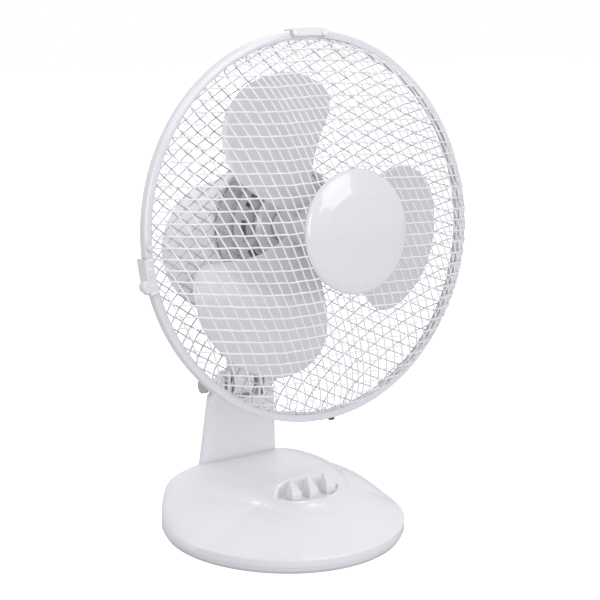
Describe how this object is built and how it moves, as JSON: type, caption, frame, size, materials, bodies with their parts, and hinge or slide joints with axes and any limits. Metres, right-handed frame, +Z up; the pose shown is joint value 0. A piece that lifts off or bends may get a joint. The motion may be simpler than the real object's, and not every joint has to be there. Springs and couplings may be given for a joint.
{
  "type": "desk fan",
  "caption": "Round-guarded desk fan with a tilting, oscillating head on a short neck and a low dish base with push buttons.",
  "frame": {"origin": "middle of the base on the table surface", "axes": "+Z up, -Y out of the front of the fan, +X to the right seen from the front"},
  "size_m": [0.2729, 0.1839, 0.366],
  "materials": {
    "shell_white": "glossy moulded white",
    "blade_white": "glossy moulded white, slightly softer",
    "wire_white": "white coated thin wire",
    "motor_black": "matt black moulding",
    "rubber_black": "matt",
    "screw_steel": "zinc plated",
    "lamination_iron": "varnished laminations",
    "winding_copper": "enamelled copper wire",
    "bearing_bronze": "sintered bronze",
    "gear_nylon": "natural nylon"
  },
  "bodies": {
    "base": {"base_shell": "shell_white", "base_tray": "shell_white", "rubber_foot_1": "rubber_black", "rubber_foot_2": "rubber_black", "rubber_foot_3": "rubber_black", "rubber_foot_4": "rubber_black", "base_screw_1": "screw_steel", "base_screw_2": "screw_steel", "base_screw_3": "screw_steel", "base_screw_4": "screw_steel", "switch_block": "motor_black", "run_capacitor": "motor_black", "cord_gland": "shell_white", "neck_shell": "shell_white", "neck_rear_cover": "shell_white", "neck_cover_screw_1": "screw_steel", "neck_cover_screw_2": "screw_steel", "tilt_bolt": "screw_steel", "tilt_nut": "screw_steel", "tilt_washer_left": "screw_steel", "tilt_washer_right": "screw_steel"},
    "button_0": {"speed_button_0": "shell_white"},
    "button_1": {"speed_button_1": "shell_white"},
    "button_2": {"speed_button_2": "shell_white"},
    "tilt_bracket": {"tilt_bracket": "shell_white", "swivel_pin": "screw_steel"},
    "head": {"swivel_bush": "gear_nylon", "housing_rear": "shell_white", "housing_front": "shell_white", "housing_screw_left": "screw_steel", "housing_screw_right": "screw_steel", "stator_core": "lamination_iron", "winding_front": "winding_copper", "winding_rear": "winding_copper", "end_bell_front": "lamination_iron", "end_bell_rear": "lamination_iron", "bearing_front": "bearing_bronze", "bearing_rear": "bearing_bronze", "gearbox_case": "gear_nylon", "rear_guard": "wire_white", "guard_nut": "shell_white", "guard_ring": "shell_white", "top_clip": "shell_white", "guard_screw": "screw_steel", "front_guard": "wire_white", "front_cap": "shell_white"},
    "rotor": {"fan_blade": "blade_white", "spinner_nut": "blade_white", "motor_shaft": "screw_steel", "rotor_core": "lamination_iron"},
    "clutch_spindle": {"clutch_spindle": "gear_nylon"},
    "crank": {"crank_disc": "gear_nylon"},
    "link_rod": {"link_rod": "screw_steel"},
    "oscillation_knob": {"oscillation_knob": "shell_white"},
    "guard_latch": {"guard_latch": "shell_white"}
  },
  "joints": [
    {"name": "press_button_0", "type": "slide", "parent": "base", "child": "button_0", "axis": [0, 0, -1], "range_m": [0, 0.003], "stiffness_N_per_m": 300, "springref_m": -0.001},
    {"name": "press_button_1", "type": "slide", "parent": "base", "child": "button_1", "axis": [0, 0, -1], "range_m": [0, 0.003], "stiffness_N_per_m": 300, "springref_m": -0.001},
    {"name": "press_button_2", "type": "slide", "parent": "base", "child": "button_2", "axis": [0, 0, -1], "range_m": [0, 0.003], "stiffness_N_per_m": 300, "springref_m": -0.001},
    {"name": "tilt", "type": "hinge", "parent": "base", "child": "tilt_bracket", "pos_m": [0, 0.062, 0.1], "axis": [-1, 0, 0], "range_deg": [-12, 12]},
    {"name": "oscillate", "type": "hinge", "parent": "tilt_bracket", "child": "head", "pos_m": [0, 0.05647, 0.14748], "axis": [0, 0.0802, 0.9968], "range_deg": [-40, 40]},
    {"name": "blade_spin", "type": "hinge", "parent": "head", "child": "rotor", "pos_m": [0, -0.0352, 0.2301], "axis": [0, -0.9968, 0.0802], "continuous": true},
    {"name": "clutch_spin", "type": "hinge", "parent": "head", "child": "clutch_spindle", "pos_m": [0.0113, 0.06049, 0.2224], "axis": [0, 0.0802, 0.9968], "continuous": true},
    {"name": "crank_spin", "type": "hinge", "parent": "head", "child": "crank", "pos_m": [0.014, 0.04039, 0.17586], "axis": [0, 0.0802, 0.9968], "continuous": true},
    {"name": "link_swing", "type": "hinge", "parent": "crank", "child": "link_rod", "pos_m": [0.009, 0.03967, 0.16689], "axis": [0, 0.0802, 0.9968], "continuous": true},
    {"name": "pull_knob", "type": "slide", "parent": "head", "child": "oscillation_knob", "axis": [0, 0.0802, 0.9968], "range_m": [0, 0.006]},
    {"name": "latch_open", "type": "hinge", "parent": "head", "child": "guard_latch", "pos_m": [-0.13541, -0.03578, 0.22291], "axis": [0, 0.9968, -0.0802], "range_deg": [0, 35]}
  ],
  "couplings": [
    {"joint": "clutch_spin", "follows": "blade_spin", "ratio": 0.05},
    {"joint": "crank_spin", "follows": "blade_spin", "ratio": -0.0175},
    {"joint": "link_swing", "follows": "blade_spin", "ratio": 0.0175}
  ]
}
